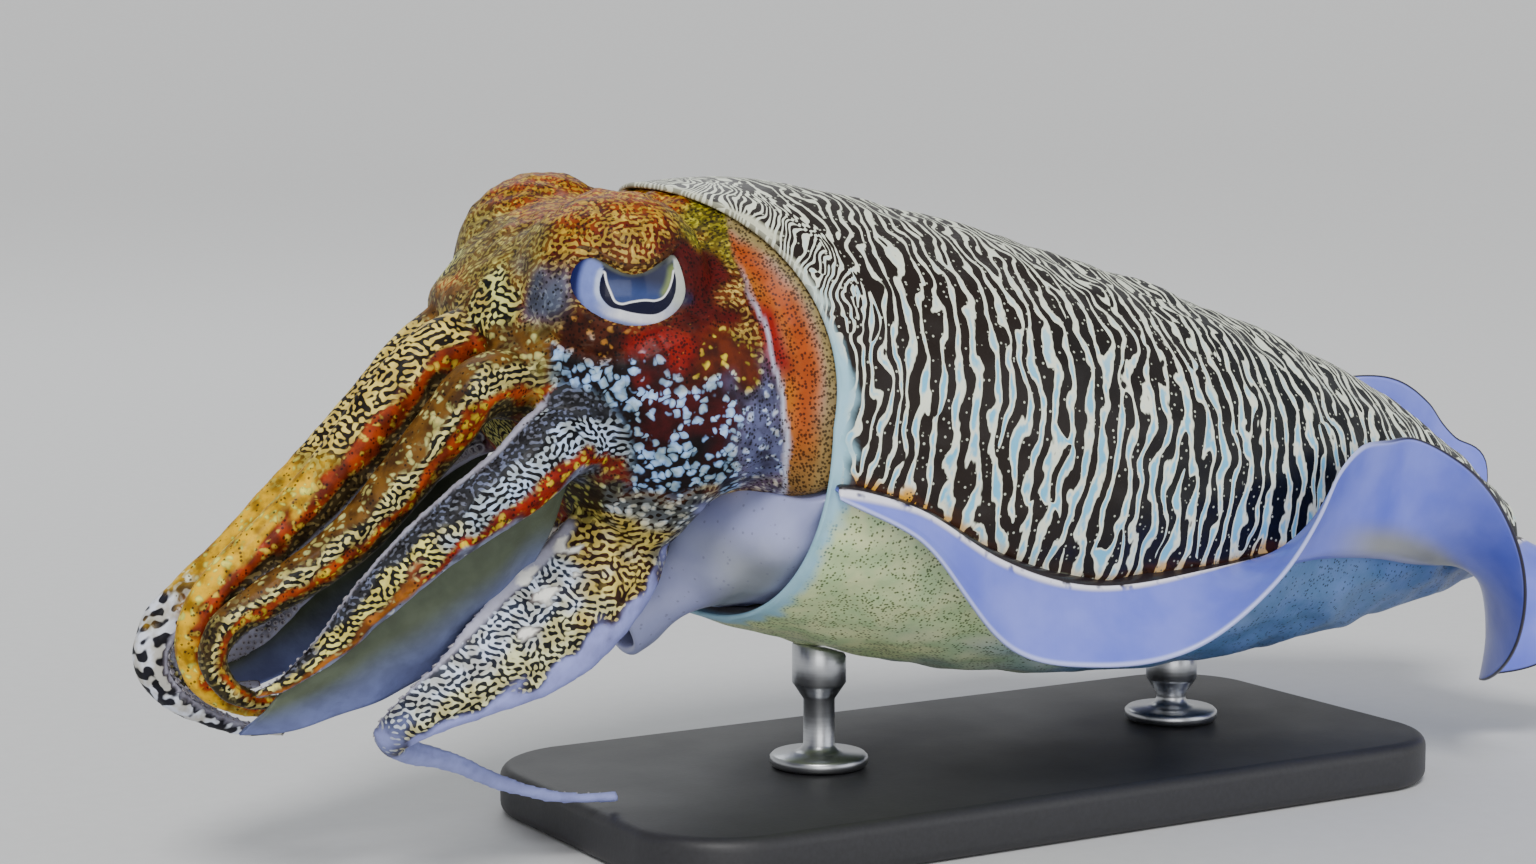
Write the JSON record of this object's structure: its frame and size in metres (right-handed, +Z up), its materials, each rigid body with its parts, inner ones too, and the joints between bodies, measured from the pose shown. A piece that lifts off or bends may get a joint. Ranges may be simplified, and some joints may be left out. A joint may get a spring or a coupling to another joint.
{
  "type": "common cuttlefish",
  "caption": "Life-size swimming cuttlefish with bent arms bearing suckers and rippled side fins, a still model held over a flat base by short rods.",
  "frame": {"origin": "centre of the stand base's underside", "axes": "+Z up; +X from the animal's head towards its tail, along the base's length; the animal's left side faces -Y"},
  "size_m": [0.3374, 0.1394, 0.1307],
  "materials": {
    "mantle_skin": "wet skin, dark brown with fine wavy cream-white lines across the body",
    "head_skin": "wet skin, brown-orange with cream and blue-white worm-like spots",
    "arm_skin": "wet skin, orange bands beside black and cream net pattern, pale keel edges",
    "fin_membrane": "thin wet membrane, lilac-blue, with a paler thin margin and a bright broken line at its base",
    "funnel_skin": "smooth wet skin, pale lilac-grey",
    "eye": "wet and glossy, blue-grey with a dark curved slit pupil over a white-lilac crescent",
    "stand": "plain matt black display base",
    "rod": "fine brushed steel rod"
  },
  "bodies": {
    "root": {"arm_1_left_base": "arm_skin", "arm_1_left_middle": "arm_skin", "arm_1_left_tip": "arm_skin", "arm_1_right_base": "arm_skin", "arm_1_right_middle": "arm_skin", "arm_1_right_tip": "arm_skin", "arm_2_left_base": "arm_skin", "arm_2_left_middle": "arm_skin", "arm_2_left_tip": "arm_skin", "arm_2_right_base": "arm_skin", "arm_2_right_middle": "arm_skin", "arm_2_right_tip": "arm_skin", "arm_3_left_base": "arm_skin", "arm_3_left_middle": "arm_skin", "arm_3_left_tip": "arm_skin", "arm_3_right_base": "arm_skin", "arm_3_right_middle": "arm_skin", "arm_3_right_tip": "arm_skin", "arm_4_left_base": "arm_skin", "arm_4_left_middle": "arm_skin", "arm_4_left_tip": "arm_skin", "arm_4_right_base": "arm_skin", "arm_4_right_middle": "arm_skin", "arm_4_right_tip": "arm_skin", "eye_left": "eye", "eye_right": "eye", "fin_left": "fin_membrane", "fin_right": "fin_membrane", "funnel": "funnel_skin", "head": "head_skin", "neck": "head_skin", "mantle": "mantle_skin", "stand_base": "stand", "stand_rod_front": "rod", "stand_rod_rear": "rod"}
  },
  "joints": []
}
